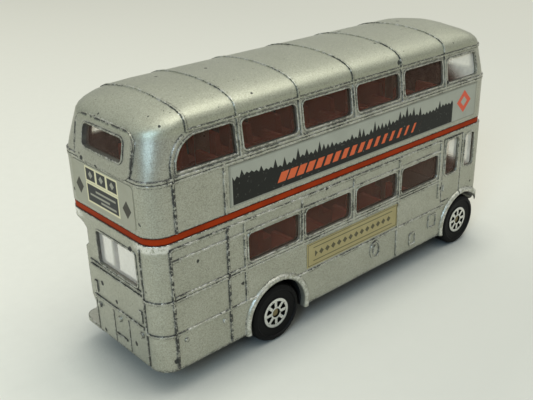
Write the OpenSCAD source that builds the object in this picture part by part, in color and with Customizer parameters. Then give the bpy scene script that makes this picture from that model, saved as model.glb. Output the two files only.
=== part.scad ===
// Toy double-decker bus with an open rear platform: two castings, a moulded deck between them,
// clear glazing, a baseplate and two rolling wheelsets. Millimetres, Z up, the front towards +X.

/* [Overall size] */
// Length of the castings from the rear wall to the front wall
body_l = 125; // [121:0.5:130]
// Width of the castings over the side walls
body_w = 37.2; // [36.4:0.2:39]
// Height of the roof's crown above the ground
roof_z = 70.6; // [69.6:0.1:72]
// Height of the skirt's lower edge above the ground
skirt_z = 6.4; // [6:0.1:6.8]
// Wall thickness of both castings
wall = 1.4; // [1.2:0.05:1.6]

/* [Levels] */
// Lower face of the coloured deck edge, as a share of the roof's height
band_share = 0.5694; // [0.562:0.001:0.577]
// Thickness of the coloured deck edge
band_t = 2; // [1.6:0.1:2.4]
// Ridge low on the panels, as a share of the roof's height
panel_share = 0.2309; // [0.226:0.001:0.237]
// Sill ridge under the lower windows, as a share of the roof's height
sill_share = 0.3569; // [0.352:0.001:0.362]
// Moulding under the upper windows, as a share of the roof's height
waist_share = 0.7762; // [0.771:0.001:0.781]
// Gutter where the roof begins, as a share of the roof's height
gutter_share = 0.9094; // [0.904:0.001:0.914]

/* [Plan and lean] */
// Plan radius of the rear corners
rear_r = 5.2; // [4.6:0.1:5.8]
// Plan radius of the lower front corners
front_r = 3.6; // [3:0.1:4.2]
// Plan radius of the upper front corners
nose_r = 4.8; // [4:0.1:5.4]
// Inward lean of the upper sides from the waist to the gutter
tumble = 1.2; // [0.8:0.1:1.4]
// Forward lean of the upper rear wall from the waist to the gutter
rear_rake = 1.8; // [1.2:0.1:2]
// Backward lean of the upper front wall from the waist to the gutter
front_rake = 1.5; // [1:0.1:2]
// Length over which the roof falls to the rear wall
dome_rear = 16.5; // [13:0.5:18]
// Length over which the roof falls to the front wall
dome_front = 9; // [8:0.5:11]

/* [Windows] */
// Distance of the first window bay from the rear wall
bay_from_rear = 26; // [25.4:0.1:26.6]
// Distance of the last window bay from the front wall
bay_from_front = 21.8; // [21.2:0.1:22.2]
// Width of the pillar between two windows
pillar_w = 2.2; // [1.9:0.1:2.6]
// Height of the lower windows, as a share of the wall between the sill and the deck
low_window_share = 0.507; // [0.47:0.005:0.53]
// Height of the upper windows, as a share of the wall between the waist and the gutter
up_window_share = 0.755; // [0.71:0.005:0.78]
// Corner radius of the windows
window_r = 1.2; // [0.8:0.1:1.6]
// Width of the raised lip round each window
lip_w = 0.45; // [0.3:0.05:0.6]
// Thickness of the clear glazing
glass_t = 0.8; // [0.6:0.05:1]
// Depth of the glass behind the face of the wall
pane_depth = 0.55; // [0.4:0.05:0.7]

/* [Wheels] */
// Radius of the tyres
tyre_r = 8.2; // [7.8:0.1:8.5]
// Width of each wheel
wheel_w = 6; // [5.4:0.1:6.4]
// Distance of the rear axle from the rear wall
rear_overhang = 36.3; // [35.8:0.1:37]
// Distance of the front axle from the front wall
front_overhang = 8.8; // [8.4:0.1:9.6]
// Radius of the wheel arches
arch_r = 9.5; // [9.1:0.1:9.7]
// Height of an arch's centre above the axle
arch_rise = 0.3; // [0:0.05:0.4]
// Radius of the axles
axle_r = 1; // [0.9:0.02:1.1]

/* [Fits] */
// Radial running clearance of an axle in its bearings
axle_gap = 0.05; // [0.03:0.01:0.08]
// Gap between nested pieces
fit_gap = 0.15; // [0.1:0.01:0.2]
// Side play between a wheel hub and its bearing
side_play = 0.3; // [0.2:0.05:0.4]

/* [Relief] */
// Height of the cast beads
bead_h = 0.3; // [0.2:0.05:0.4]
// Width of the cast beads
bead_w = 0.6; // [0.4:0.05:0.7]
// Height of the studs, lamps and grille frame on the end walls
trim_h = 0.5; // [0.4:0.05:0.6]
// Thickness of the labels
label_t = 0.12; // [0.1:0.01:0.16]

/* [Output] */
// Which sub-part to draw

/* [Hidden] */
$fn = 64;
// How far an added bead or boss is sunk into the wall it stands on
bury = 0.6;
// How far a cutter passes the face it opens
past = 1;

cast_colour = [0.66, 0.67, 0.62];
deck_colour = [0.62, 0.24, 0.13];
glass_colour = [0.75, 0.78, 0.78, 0.45];
base_colour = [0.25, 0.25, 0.25];
steel_colour = [0.6, 0.6, 0.58];
tyre_colour = [0.08, 0.08, 0.08];
paper_colour = [0.55, 0.55, 0.52];

half_w = body_w / 2;
rear_x = -body_l / 2;
front_x = body_l / 2;
panel_z = panel_share * roof_z;
sill_z = sill_share * roof_z;
band_z = band_share * roof_z;
waist_z = waist_share * roof_z;
gutter_z = gutter_share * roof_z;
deck_z = band_z + band_t;
low_window_h = low_window_share * (band_z - sill_z);
up_window_h = up_window_share * (gutter_z - waist_z);
bay_start = rear_x + bay_from_rear;
bay_end = front_x - bay_from_front;
bay_count = 4;
bay_pitch = (bay_end - bay_start) / bay_count;
window_w = bay_pitch - pillar_w;
rear_axle_x = rear_x + rear_overhang;
front_axle_x = front_x - front_overhang;
axle_z = tyre_r;
arch_z = axle_z + arch_rise;

low_window_z = sill_z + 2;
up_window_z = waist_z + 1.4;
head_z = low_window_z + low_window_h + 0.8;
rail_z = band_z - 1.6;
lean_h = gutter_z - waist_z;
side_lean = atan(tumble / lean_h);
rear_lean = atan(rear_rake / lean_h);
front_lean = atan(front_rake / lean_h);
roof_h = roof_z - gutter_z;
gutter_half = half_w - tumble;

corner_x = rear_x + rear_r - 0.7;
stair_x = rear_x + 20.7;
bulkhead_x = front_x - 20.2;
cab_wall_y = 1;
bonnet_z = sill_z + 1.7;
platform_t = 1.2;
platform_z = skirt_z + platform_t;
platform_x = rear_x + 24.2;
bearing_top = axle_z + axle_r + 1.4;
floor_z = bearing_top;
floor_t = 1.2;
saloon_half = half_w - wall - fit_gap - glass_t - fit_gap;

base_t = 1.4;
base_z = skirt_z;
wheel_out = half_w - 0.5;
wheel_in = wheel_out - wheel_w;
bearing_w = 2.4;
hub_reach = 1.2;
bearing_out = wheel_in - hub_reach;
well_half = arch_r - 0.3;
well_in = bearing_out;
well_top = 2 * tyre_r + 0.8;
box_t = 0.9;
post_r = 1.9;
rear_post_x = rear_axle_x - 7.6;
front_post_x = bulkhead_x - 3.2;
posts = [rear_post_x, front_post_x];

quarter_r = up_window_h - 0.4;
quarter_x = rear_x + 8.1 + quarter_r;
quarter_end = bay_start - pillar_w / 2;
roof_rib_x = rear_x + 12;

// Points on an ellipse's arc
function arc(cx, cy, rx, ry, from, to, n) =
    [for (i = [0:n]) let (a = from + (to - from) * i / n) [cx + rx * cos(a), cy + ry * sin(a)]];

// A rectangle with rounded corners as points
function round_rect(x0, y0, x1, y1, r, n = 5) = concat(
    arc(x1 - r, y1 - r, r, r, 0, 90, n),
    arc(x0 + r, y1 - r, r, r, 90, 180, n),
    arc(x0 + r, y0 + r, r, r, 180, 270, n),
    arc(x1 - r, y0 + r, r, r, 270, 360, n));

// The rear quarter window: its upper rear corner is one large curve
function quarter_shape(grow) = let (
    top = up_window_z + up_window_h,
    r = window_r + grow,
    big = quarter_r + grow)
    concat(
    arc(quarter_end - window_r, top - window_r, r, r, 0, 90, 5),
    arc(quarter_x, top - quarter_r, big, big, 90, 180, 10),
    [[quarter_x - big, up_window_z - grow], [quarter_end + grow, up_window_z - grow]]);

// The front side window: its front edge follows the raked front
function nose_shape(grow) = let (
    x0 = bay_end + pillar_w / 2,
    x1 = front_x - nose_r - 1.6,
    z0 = up_window_z,
    z1 = up_window_z + up_window_h - 0.4,
    back = 0.5,
    r = window_r + grow)
    concat(
    arc(x1 - back - window_r, z1 - window_r, r, r, 0, 90, 5),
    arc(x0 + window_r, z1 - window_r, r, r, 90, 180, 5),
    arc(x0 + window_r, z0 + window_r, r, r, 180, 270, 5),
    arc(x1 - window_r, z0 + window_r, r, r, 270, 360, 5));

// One level of the leaning upper skin, from the waist to the gutter
function lean_level(t) = [waist_z + t * lean_h, tumble * t, rear_rake * t, front_rake * t,
    rear_swell * pow(t, 1.5), rear_swell * pow(t, 1.5), nose_swell * t, nose_swell * t];

// One level of the domed roof: the angle runs from the gutter to the crown
function dome_level(angle) = let (
    v = pow(sin(angle), 2 / dome_power),
    side = gutter_half * (1 - cos(angle)),
    back = dome_rear * (1 - sqrt(1 - pow(v, end_power))),
    front = dome_front * (1 - sqrt(1 - pow(v, end_power))))
    [gutter_z + v * roof_h, tumble + side, rear_rake + back, front_rake + front,
        rear_swell + back * end_growth, rear_swell + side * side_growth,
        nose_swell + front * end_growth, nose_swell + side * side_growth];
dome_power = 3.3;
end_power = 1.65;
rear_swell = 2;
nose_swell = 0.6;
end_growth = 0.3;
side_growth = 1.5;
corner_share = 0.92;
dome_angles = [2, 6, 12, 20, 30, 42, 54, 66, 78, 86];

// A ring of points round the body at one level, set in by d
function skin_ring(level, d, n) = let (
    z = level[0] > gutter_z ? gutter_z + (level[0] - gutter_z) * (roof_h - d) / roof_h : level[0],
    hw = half_w - level[1] * (half_w - tumble - d) / (half_w - tumble) - d,
    x0 = rear_x + level[2] + d,
    x1 = front_x - level[3] - d,
    ax = rear_r + level[4] - d,
    ay = min(rear_r + level[5] - d, hw * corner_share),
    bx = nose_r + level[6] - d,
    by = min(nose_r + level[7] - d, hw * corner_share))
    [for (p = concat(
        arc(x1 - bx, hw - by, bx, by, 0, 90, n),
        arc(x0 + ax, hw - ay, ax, ay, 90, 180, n),
        arc(x0 + ax, ay - hw, ax, ay, 180, 270, n),
        arc(x1 - bx, by - hw, bx, by, 270, 360, n))) [p[0], p[1], z]];

// Faces of a stack of rings, closed at both ends
function skin_faces(rings, n) = concat(
    [[for (k = [0:n - 1]) k]],
    [for (i = [0:rings - 2], k = [0:n - 1]) [i * n + k, (i + 1) * n + k, (i + 1) * n + (k + 1) % n]],
    [for (i = [0:rings - 2], k = [0:n - 1]) [i * n + k, (i + 1) * n + (k + 1) % n, i * n + (k + 1) % n]],
    [[for (k = [n - 1:-1:0]) (rings - 1) * n + k]]);

module skin(levels, d, n = 8) {
    points = [for (l = levels) each skin_ring(l, d, n)];
    polyhedron(points, skin_faces(len(levels), 4 * (n + 1)));
}

// A long plan with half width w, corners of radius a at the rear and b at the front
module round_plan(x0, x1, w, a, b) {
    polygon([[x0 + a, -w], [x1 - b, -w], [x1, b - w], [x1, w - b],
        [x1 - b, w], [x0 + a, w], [x0, w - a], [x0, a - w]]);
    for (s = [-1, 1]) {
        translate([x0 + a, s * (w - a)]) circle(a);
        translate([x1 - b, s * (w - b)]) circle(b);
    }
}

// The plan of the castings, set in by d
module plan(d = 0, front = front_r) {
    round_plan(rear_x + d, front_x - d, half_w - d, rear_r - d, front - d);
}

// The plan of the upper casting at the gutter, set in by d
module gutter_plan(d) {
    round_plan(rear_x + rear_rake + d, front_x - front_rake - d, gutter_half - d,
        rear_r + rear_swell - d, nose_r + nose_swell - d);
}

// A box from two corners
module block(a, b) {
    translate(a) cube(b - a);
}

// A shape drawn in X and Z, made solid across Y
module across(y0, y1) {
    translate([0, y1, 0]) rotate([90, 0, 0]) linear_extrude(y1 - y0) children();
}

// A shape drawn in Y and Z, made solid along X
module along(x0, x1) {
    translate([x0, 0, 0]) rotate([90, 0, 90]) linear_extrude(x1 - x0) children();
}

// Both sides of what is drawn for the offside
module both_sides() {
    children();
    mirror([0, 1, 0]) children();
}

// What is drawn against the upright side wall follows the leaning one, turned about the waist
module lean_side() {
    translate([0, -half_w, waist_z]) rotate([-side_lean, 0, 0])
        translate([0, half_w, -waist_z]) children();
}

module lean_rear() {
    translate([rear_x, 0, waist_z]) rotate([0, rear_lean, 0])
        translate([-rear_x, 0, -waist_z]) children();
}

module lean_front() {
    translate([front_x, 0, waist_z]) rotate([0, -front_lean, 0])
        translate([-front_x, 0, -waist_z]) children();
}

// A raised lip on the offside wall round a window's outline
module side_lip() {
    across(-half_w - lip_h, -half_w + bury) difference() {
        children(0);
        children(1);
    }
}
lip_h = 0.18;

// A bead along both sides and round the rear corners, up to a position along X
module belt(z, x1) {
    translate([0, 0, z]) linear_extrude(bead_w) difference() {
        plan(-bead_h);
        plan(bury);
        translate([x1, -body_w]) square([body_l, 2 * body_w]);
        translate([rear_x - 1, edge_line_y]) square([2, -2 * edge_line_y]);
    }
}

// A level bead across the lower rear wall
module rear_bead(z, height) {
    block([rear_x - bead_h, edge_line_y, z], [rear_x + bury, rear_edge_y, z + height]);
}

// A straight upright bead on the offside wall
module side_rib(x, z0, z1) {
    block([x - bead_w / 2, -half_w - bead_h, z0], [x + bead_w / 2, -half_w + bury, z1]);
}

// A straight level bead on the offside wall
module side_bead(z, x0, x1) {
    block([x0, -half_w - bead_h, z - bead_w / 2], [x1, -half_w + bury, z + bead_w / 2]);
}

// Lower window outlines
module low_window(i, grow) {
    x0 = bay_start + i * bay_pitch + pillar_w / 2;
    polygon(round_rect(x0 - grow, low_window_z - grow, x0 + window_w + grow,
        low_window_z + low_window_h + grow, window_r + grow));
}

module up_window(i, grow) {
    x0 = bay_start + i * bay_pitch + pillar_w / 2;
    polygon(round_rect(x0 - grow, up_window_z - grow, x0 + window_w + grow,
        up_window_z + up_window_h + grow, window_r + grow));
}

door_window_x = bulkhead_x + 1.2;
door_window_w = 6;
door_window_z = sill_z + 1.5;
door_window_h = band_z - sill_z - 3.7;
pane_x = bulkhead_x + 10.8;
pane_w = 4.6;
pane_z = sill_z + 1.8;
pane_h = band_z - sill_z - 4.2;

// The cab's side windows: the door's first, then the pane ahead of it
module cab_window(i, grow) {
    x0 = i == 0 ? door_window_x : pane_x;
    x1 = i == 0 ? door_window_x + door_window_w : pane_x + pane_w;
    z0 = i == 0 ? door_window_z : pane_z;
    z1 = i == 0 ? door_window_z + door_window_h : pane_z + pane_h;
    polygon(round_rect(x0 - grow, z0 - grow, x1 + grow, z1 + grow, window_r + grow));
}

rear_window_y0 = -11.2;
rear_window_y1 = 5.4;
rear_window_z0 = sill_z + 3;
rear_window_z1 = band_z - 3.2;
rear_edge_y = 10;
rear_edge_bulge = 1.5;
canopy_z = band_z - 2.4;

// The open nearside rear corner, seen from behind
module platform_opening_shape() {
    bulge_y = rear_edge_y + rear_edge_bulge;
    foot_y = rear_edge_y + 0.2;
    polygon([[rear_edge_y, canopy_z - 1.8], [rear_edge_y, rear_window_z1 - 5],
        [bulge_y, rear_window_z1 - 6.3], [bulge_y, panel_z + 0.6], [foot_y, panel_z - 1.4],
        [foot_y, platform_z], [half_w + past, platform_z], [half_w + past, canopy_z + 0.4],
        [rear_edge_y + 3.6, canopy_z], [rear_edge_y + 1.3, canopy_z - 0.7]]);
}

// The platform's own corner is fuller than the casting above it
module platform_corner() {
    x1 = rear_x + rear_r + 2;
    polygon(concat([[x1, half_w - 2], [x1, half_w]],
        arc(rear_x + platform_r + 0.3, half_w - platform_r, platform_r, platform_r, 90, 180, 8),
        [[rear_x + 0.3, rear_edge_y - 1], [rear_x + 2, rear_edge_y - 1]]));
}
platform_r = 3;

// A round lip along the edge of a wheel arch, down to the skirt
module arch_lip(x) {
    intersection() {
        translate([x, -half_w + arch_lip_sink, arch_z]) rotate([90, 0, 0]) rotate_extrude()
            translate([arch_r + arch_lip_r - 0.1, 0]) circle(arch_lip_r, $fn = 32);
        translate([0, 0, skirt_z]) linear_extrude(band_z) plan(-arch_lip_r);
        block([-body_l, -body_w, skirt_z], [front_x - 0.3, body_w, band_z]);
    }
}
arch_lip_r = 0.9;
arch_lip_sink = 0.2;

filler_x = bay_start + 2.5 * bay_pitch;
filler_z = panel_z - 3.2;
hatch_x = bay_end - 11.7;
vent_x = bay_end - 2.2;
stud_r = 0.95;
filler_rx = 2.2;
filler_rz = 2.8;

// The small cast details low on the side wall
module side_trim() {
    across(-half_w - bead_h, -half_w + bury) difference() {
        polygon(arc(filler_x, filler_z, filler_rx, filler_rz, 0, 345, 23));
        polygon(arc(filler_x, filler_z, filler_rx - 0.5, filler_rz - 0.5, 0, 345, 23));
    }
    across(-half_w - bead_h, -half_w + bury)
        polygon(arc(filler_x, filler_z, filler_rx - 1.3, filler_rz - 1.3, 0, 330, 11));
    side_frame(hatch_x - 1.5, skirt_z + 2, hatch_x + 1.5, skirt_z + 6.1);
    side_frame(vent_x - 2, panel_z - 5.3, vent_x + 2, panel_z - 0.8);
    for (x = [rear_x + 7.2, stair_x - 2])
        translate([x, -half_w + bury, panel_z - 2.1]) rotate([90, 0, 0]) cylinder(h = bury + 0.35, r = 0.55);
}

module side_frame(x0, z0, x1, z1) {
    across(-half_w - bead_h, -half_w + bury) difference() {
        polygon(round_rect(x0, z0, x1, z1, 0.5, 3));
        polygon(round_rect(x0 + 0.4, z0 + 0.4, x1 - 0.4, z1 - 0.4, 0.3, 3));
    }
}

// The skirt's lower edge turns under in small steps: height above the edge and inset
skirt_steps = [[0, 0.5], [0.2, 0.3], [0.45, 0.15], [0.75, 0.05], [1.05, 0]];
// Height at which the ribs end, above the turned edge
rib_foot_z = skirt_z + skirt_steps[len(skirt_steps) - 1][0];

stud_ys = [8, -1.3, -10.9];
line_ys = [rear_edge_y - 0.2, 1.7, -5.1];
edge_line_y = rear_r - half_w + 0.2;

// Studs, lamps, the step plate and the joint lines of the lower rear wall
module rear_trim() {
    for (y = stud_ys)
        translate([rear_x + bury, y, panel_z - 1.2]) rotate([0, -90, 0])
            cylinder(h = bury + trim_h, r1 = stud_r, r2 = stud_r * 0.7);
    for (y = line_ys)
        block([rear_x - 0.15, y - 0.2, rib_foot_z], [rear_x + bury, y + 0.2, panel_z]);
    block([rear_x - bead_h, edge_line_y - 0.2, rib_foot_z], [rear_x + bury, edge_line_y + 0.2, rail_z]);
    for (y = [-11.3, 8.6])
        block([rear_x - 0.3, y - 0.6, sill_z - 6.4], [rear_x + bury, y + 0.6, sill_z - 3.2]);
    block([rear_x - 0.3, -3.8, skirt_z + 3.3], [rear_x + bury, 1, skirt_z + 3.9]);
    along(rear_x - lip_h, rear_x + bury) difference() {
        rear_window(lip_w);
        rear_window(0);
    }
}

// The window behind the lower saloon
module rear_window(grow) {
    polygon(round_rect(rear_window_y0 - grow, rear_window_z0 - grow, rear_window_y1 + grow,
        rear_window_z1 + grow, window_r - lip_w + grow));
}

// The driver's windscreen
module screen(grow) {
    polygon(round_rect(screen_y0 - grow, screen_z0 - grow, screen_y1 + grow, screen_z1 + grow,
        window_r + grow));
}
screen_y0 = -half_w + front_r + 0.6;
screen_y1 = cab_wall_y - 1.6;
screen_z0 = sill_z + 0.2;
screen_z1 = band_z - 2.2;

grille_y0 = 3.2;
grille_y1 = 12.4;
grille_z0 = skirt_z + 3;
grille_z1 = bonnet_z - 1.6;
slat_count = 9;
lamp_ys = [-13.6, 15.2];
lamp_z = panel_z + 1.4;
lamp_r = 1.9;

// The radiator grille and the headlamps of the front wall
module front_trim() {
    along(front_x - bury, front_x + trim_h) difference() {
        polygon(round_rect(grille_y0, grille_z0, grille_y1, grille_z1, 1.8));
        polygon(round_rect(grille_y0 + 0.8, grille_z0 + 0.8, grille_y1 - 0.8, grille_z1 - 0.8, 1.2));
    }
    slat_gap = (grille_y1 - grille_y0 - 1.6) / (slat_count + 1);
    for (i = [1:slat_count])
        block([front_x - bury, grille_y0 + 0.8 + i * slat_gap - 0.18, grille_z0 + 0.5],
            [front_x + bead_h, grille_y0 + 0.8 + i * slat_gap + 0.18, grille_z1 - 0.5]);
    for (y = lamp_ys)
        translate([front_x - wall, y, lamp_z]) rotate([0, 90, 0])
            cylinder(h = wall + trim_h, r1 = lamp_r, r2 = lamp_r * 0.86);
    along(front_x - bury, front_x + lip_h) difference() {
        screen(lip_w);
        screen(0);
    }
}

// The upright beads of the lower sides
module low_ribs() {
    side_rib(corner_x, rib_foot_z, rail_z);
    side_rib(stair_x, rib_foot_z, rail_z);
    side_rib(bay_start, panel_z, rail_z);
    for (i = [1:bay_count - 1])
        side_rib(bay_start + i * bay_pitch, sill_z, rail_z);
    side_rib(bay_start + 3 * bay_pitch, rib_foot_z, sill_z);
    side_rib(bay_end, sill_z - 5, rail_z);
    side_bead(head_z, corner_x, bay_end);
    side_bead(rail_z, corner_x, bay_end);
    for (i = [0:bay_count - 1])
        side_lip() {
            low_window(i, lip_w);
            low_window(i, 0);
        }
}

// Cab door joints and handle, offside only
module cab_door_cut() {
    x0 = bulkhead_x;
    x1 = door_window_x + door_window_w + 2;
    z1 = door_window_z + door_window_h + 0.9;
    z0 = panel_z + 1.8;
    half_cut = 0.17;
    cut_y = -half_w + 0.3;
    for (x = [x0, x1])
        block([x - half_cut, -half_w - past, z0], [x + half_cut, cut_y, z1]);
    block([x0 - half_cut, -half_w - past, z1 - 2 * half_cut], [x1 + half_cut, cut_y, z1]);
    block([x0 - half_cut, -half_w - past, z0], [x0 + 4, cut_y, z0 + 2 * half_cut]);
}

// Ledges inside the side walls that the baseplate seats against
ledge_xs = [rear_axle_x + well_half + 6, bulkhead_x - 20];

// The outside of the lower casting
module tub() {
    for (level = skirt_steps)
        translate([0, 0, skirt_z + level[0]]) linear_extrude(band_z - skirt_z - level[0]) plan(level[1]);
}

module lower_body() color(cast_colour) {
    difference() {
        union() {
            difference() {
                tub();
                translate([0, 0, skirt_z - 1]) linear_extrude(band_z) plan(wall);
            }
            belt(panel_z, front_axle_x - arch_r);
            belt(sill_z, bulkhead_x);
            rear_bead(panel_z + 0.9, bead_w);
            rear_bead(sill_z + 1, 0.35);
            rear_bead(sill_z + 2.2, 0.35);
            both_sides() {
                low_ribs();
                arch_lip(rear_axle_x);
                arch_lip(front_axle_x);
                side_trim();
                side_bead(sill_z + 1.1, corner_x, bay_end);
            }
            for (i = [0, 1])
                side_lip() {
                    cab_window(i, lip_w);
                    cab_window(i, 0);
                }
            block([bulkhead_x + 0.7, -half_w - bead_h, panel_z + 5.4],
                [bulkhead_x + 1.2, -half_w + bury, panel_z + 7.4]);
            both_sides() for (x = ledge_xs)
                block([x - 3, -half_w + wall / 2, base_z + base_t],
                    [x + 3, -half_w + wall + 1.6, base_z + base_t + 2]);
            rear_trim();
            front_trim();
            intersection() {
                translate([0, 0, skirt_z]) linear_extrude(platform_t) plan(wall / 2);
                block([rear_x, -half_w, skirt_z], [platform_x, half_w, platform_z]);
            }
            translate([0, 0, skirt_z]) linear_extrude(platform_t) platform_corner();
            intersection() {
                translate([0, 0, skirt_z]) linear_extrude(band_z - skirt_z) plan(wall / 2);
                union() {
                    block([bulkhead_x, -half_w, floor_z + floor_t + fit_gap],
                        [bulkhead_x + wall, half_w, band_z]);
                    block([bulkhead_x, cab_wall_y - wall / 2, bonnet_z - wall],
                        [front_x, cab_wall_y + wall / 2, band_z]);
                    block([bulkhead_x, cab_wall_y, bonnet_z - wall], [front_x, half_w, bonnet_z]);
                }
            }
        }
        both_sides() {
            for (x = [rear_axle_x, front_axle_x])
                translate([x, -well_in, arch_z]) rotate([90, 0, 0]) cylinder(h = half_w, r = arch_r);
        }
        for (i = [0:bay_count - 1])
            across(-half_w - past, half_w + past) low_window(i, 0);
        for (i = [0, 1])
            across(-half_w - past, -half_w + wall + past) cab_window(i, 0);
        along(rear_x - past, rear_x + wall + past) rear_window(0);
        along(front_x - wall - past, front_x + past) screen(0);
        along(rear_x - past, platform_x) platform_opening_shape();
        block([bulkhead_x + wall, cab_wall_y + wall / 2, bonnet_z],
            [front_x + past, half_w + past, band_z + past]);
        along(bulkhead_x - past, bulkhead_x + wall + past)
            polygon(round_rect(cab_wall_y + 2.4, bonnet_z + 1.2, half_w - 3.4, band_z - 2.4, window_r));
        across(cab_wall_y - wall, cab_wall_y + wall)
            polygon(round_rect(bulkhead_x + 4.4, bonnet_z + 1.6, front_x - 4, band_z - 2.4, window_r));
        cab_door_cut();
    }
    translate([pole_x, pole_y, platform_z - bury])
        cylinder(h = canopy_z + 1 - platform_z + bury, r = pole_r, $fn = 32);
    difference() {
        translate([bulkhead_x + wall / 2, (cab_wall_y + half_w) / 2, bonnet_z - bonnet_drop])
            rotate([0, 90, 0]) cylinder(h = front_x - bulkhead_x - wall, r = bonnet_r);
        block([bulkhead_x, -half_w, skirt_z], [front_x + past, half_w, bonnet_z - wall / 2]);
    }
}
bonnet_r = 4;
bonnet_drop = 3.1;
pole_r = 0.75;
pole_x = rear_x + 10.8;
pole_y = half_w - 1.5;

// The leaning skin starts a little inside the upright wall, under the waist moulding
skin_start = 0.06;
lean_levels = [for (t = [0.25:0.25:1]) lean_level(t)];
dome_levels = [for (a = dome_angles) dome_level(a)];
function foot_level(z) = [z, skin_start, skin_start, skin_start, 0, 0, 0, 0];
skin_levels = concat([foot_level(waist_z - 0.4), foot_level(waist_z)], lean_levels, dome_levels);
inner_levels = concat([foot_level(waist_z - 0.3), foot_level(waist_z + 0.1)], lean_levels, dome_levels);

rear_door_half = 12.2;
rear_door_y = -0.8;
rear_door_r = 3.4;
rear_door_top = gutter_z + 1.3;
rear_pane_half = 8.3;
rear_pane_z0 = waist_z + 3.1;
rear_pane_z1 = gutter_z - 0.9;

module upper_ribs() {
    side_rib(corner_rib_x, deck_z, waist_z);
    lean_side() side_rib(corner_rib_x, waist_z - 0.2, up_window_z + 0.4);
    side_rib(stair_x, deck_z, waist_z);
    for (i = [0:bay_count])
        lean_side() side_rib(bay_start + i * bay_pitch, waist_z, gutter_z);
    lean_side() {
        for (i = [0:bay_count - 1])
            side_lip() {
                up_window(i, lip_w);
                up_window(i, 0);
            }
        side_lip() {
            polygon(quarter_shape(lip_w));
            polygon(quarter_shape(0));
        }
        side_lip() {
            polygon(nose_shape(lip_w));
            polygon(nose_shape(0));
        }
        sweep_z = up_window_z + up_window_h - quarter_r;
        across(-half_w - bead_h, -half_w + bury)
            polygon(concat(
                arc(quarter_x, sweep_z, sweep_r + bead_w, sweep_r + bead_w, 180, 118, 10),
                arc(quarter_x, sweep_z, sweep_r, sweep_r, 118, 180, 10)));
    }
}
sweep_r = quarter_r + 1.1;
corner_rib_x = quarter_x - sweep_r - bead_w / 2;

// The seams across the roof: slices of the skin grown by the bead's height
module roof_ribs() {
    intersection() {
        skin(skin_levels, -bead_h);
        union() {
            for (x = concat([roof_rib_x], [for (i = [0:bay_count]) bay_start + i * bay_pitch]))
                block([x - bead_w / 2, -body_w, gutter_z], [x + bead_w / 2, body_w, roof_z + 1]);
        }
    }
}

module gutter_bead() {
    translate([0, 0, gutter_z - 0.1]) linear_extrude(bead_w) difference() {
        gutter_plan(-bead_h);
        gutter_plan(bury);
        translate([rear_x - 1, -body_w]) square([roof_rib_x - rear_x + 1, 2 * body_w]);
    }
}

front_pane_half = 13.4;
front_pane_z0 = up_window_z;
front_pane_z1 = up_window_z + up_window_h;
front_pillar = 1.1;

module front_pane(s, grow) {
    y0 = s > 0 ? front_pillar : -front_pane_half;
    y1 = s > 0 ? front_pane_half : -front_pillar;
    polygon(round_rect(y0 - grow, front_pane_z0 - grow, y1 + grow, front_pane_z1 + grow, window_r + grow));
}

module rear_pane(grow) {
    polygon(round_rect(rear_door_y - rear_pane_half - grow, rear_pane_z0 - grow,
        rear_door_y + rear_pane_half + grow, rear_pane_z1 + grow, window_r + grow));
}

// A bead all round at the waist, fuller along the sides
module waist_bead(z) {
    translate([0, 0, z]) linear_extrude(bead_w) {
        plan(-bead_h / 2, nose_r);
        translate([rear_x + rear_r, -half_w - bead_h])
            square([body_l - rear_r - nose_r, body_w + 2 * bead_h]);
    }
}

// The openings of one upper side wall, in the leaning frame
module upper_side_windows(y0, y1, grow) {
    for (i = [0:bay_count - 1])
        across(y0, y1) up_window(i, grow);
    across(y0, y1) polygon(quarter_shape(grow));
    across(y0, y1) polygon(nose_shape(grow));
}

module upper_body() color(cast_colour) {
    difference() {
        union() {
            translate([0, 0, deck_z]) linear_extrude(waist_z + 0.2 - deck_z) plan(0, nose_r);
            skin(skin_levels, 0);
            waist_bead(waist_z - 0.8);
            waist_bead(waist_z);
            both_sides() upper_ribs();
            gutter_bead();
            roof_ribs();
            lean_rear() along(rear_x - bead_h, rear_x + wall)
                polygon(round_rect(rear_door_y - rear_door_half, waist_z - 0.4, rear_door_y + rear_door_half,
                    rear_door_top, rear_door_r));
            lean_rear() along(rear_x - bead_h - lip_h, rear_x + bury) difference() {
                rear_pane(lip_w);
                rear_pane(0);
            }
            lean_front() for (s = [-1, 1])
                along(front_x - bury, front_x + lip_h) difference() {
                    front_pane(s, lip_w);
                    front_pane(s, 0);
                }
        }
        translate([0, 0, deck_z - 1]) linear_extrude(waist_z + 1 - deck_z) plan(wall, nose_r);
        skin(inner_levels, wall);
        both_sides() lean_side() upper_side_windows(-half_w - past, -half_w + wall + past, 0);
        lean_rear() along(rear_x - past, rear_x + wall + past) rear_pane(0);
        lean_front() for (s = [-1, 1])
            along(front_x - wall - past, front_x + past) front_pane(s, 0);
    }
    for (x = posts) {
        translate([x, 0, base_z + base_t / 2])
            cylinder(h = roof_z - wall / 2 - base_z - base_t / 2, r = post_r);
        translate([x, 0, base_z + head_sink]) cylinder(h = base_t / 2, r = head_r);
    }
}
head_r = post_r + 0.9;
head_sink = 0.3;

seat_h = 5.2;
seat_d = 6;
back_h = 10.6;
back_t = 1.5;
gangway = 2.9;

// One bench seen from the offside, facing forward
module bench(x, z, y0, y1) {
    across(y0, y1) polygon([[x, z - 0.2], [x + seat_d, z - 0.2], [x + seat_d, z + seat_h - 0.6],
        [x + seat_d - 0.6, z + seat_h], [x + back_t + 0.4, z + seat_h], [x + back_t - 0.3, z + back_h],
        [x - 0.1, z + back_h], [x - 0.3, z + back_h - 0.6]]);
}

up_row_count = 10;
up_row_start = rear_x + 14;
up_row_pitch = (front_x - 9 - seat_d - up_row_start) / (up_row_count - 1);
seat_half = saloon_half - 1.2;

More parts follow.
